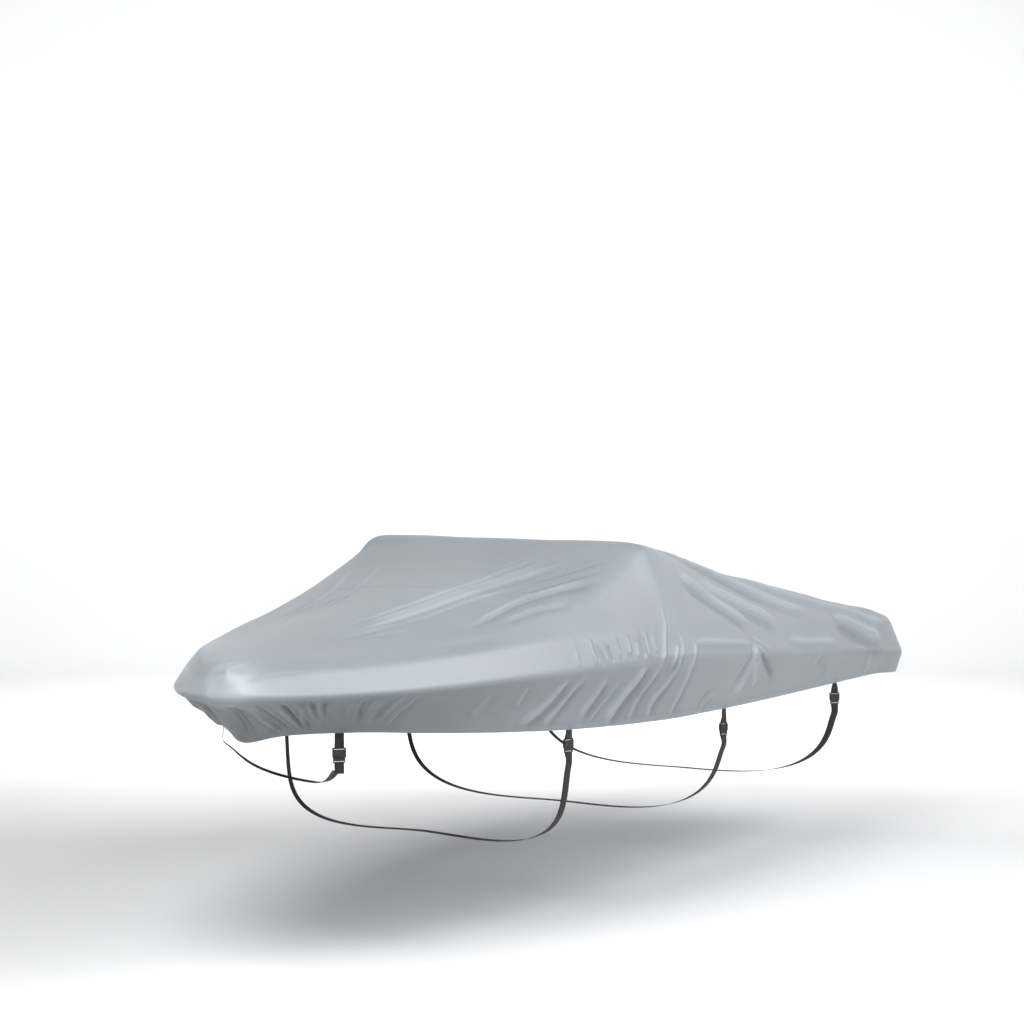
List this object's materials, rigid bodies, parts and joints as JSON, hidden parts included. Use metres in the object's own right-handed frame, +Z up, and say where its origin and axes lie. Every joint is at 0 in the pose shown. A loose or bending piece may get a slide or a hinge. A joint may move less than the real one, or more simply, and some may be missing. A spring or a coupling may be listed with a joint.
{
  "type": "boat cover",
  "caption": "Hollow fitted cover of grey polyester for a runabout, peaked amidships, with four hull straps and side-release buckles.",
  "frame": {"origin": "underside of the cloth at the crown of the peak, on the centre plane, where the thing it covers holds it up", "axes": "+X towards the bow, +Y to port, +Z up"},
  "size_m": [5.0345, 2.0061, 1.3301],
  "materials": {
    "cloth": "light grey coated polyester canvas, soft sheen",
    "webbing": "black woven webbing",
    "buckle": "black moulded plastic"
  },
  "bodies": {
    "root": {"cover_cloth": "cloth", "strap_1_tab": "webbing", "strap_1_socket": "buckle", "strap_1_plug": "buckle", "strap_1_webbing": "webbing", "strap_2_tab": "webbing", "strap_2_socket": "buckle", "strap_2_plug": "buckle", "strap_2_webbing": "webbing", "strap_3_tab": "webbing", "strap_3_socket": "buckle", "strap_3_plug": "buckle", "strap_3_webbing": "webbing", "strap_4_tab": "webbing", "strap_4_socket": "buckle", "strap_4_plug": "buckle", "strap_4_webbing": "webbing"}
  },
  "joints": []
}
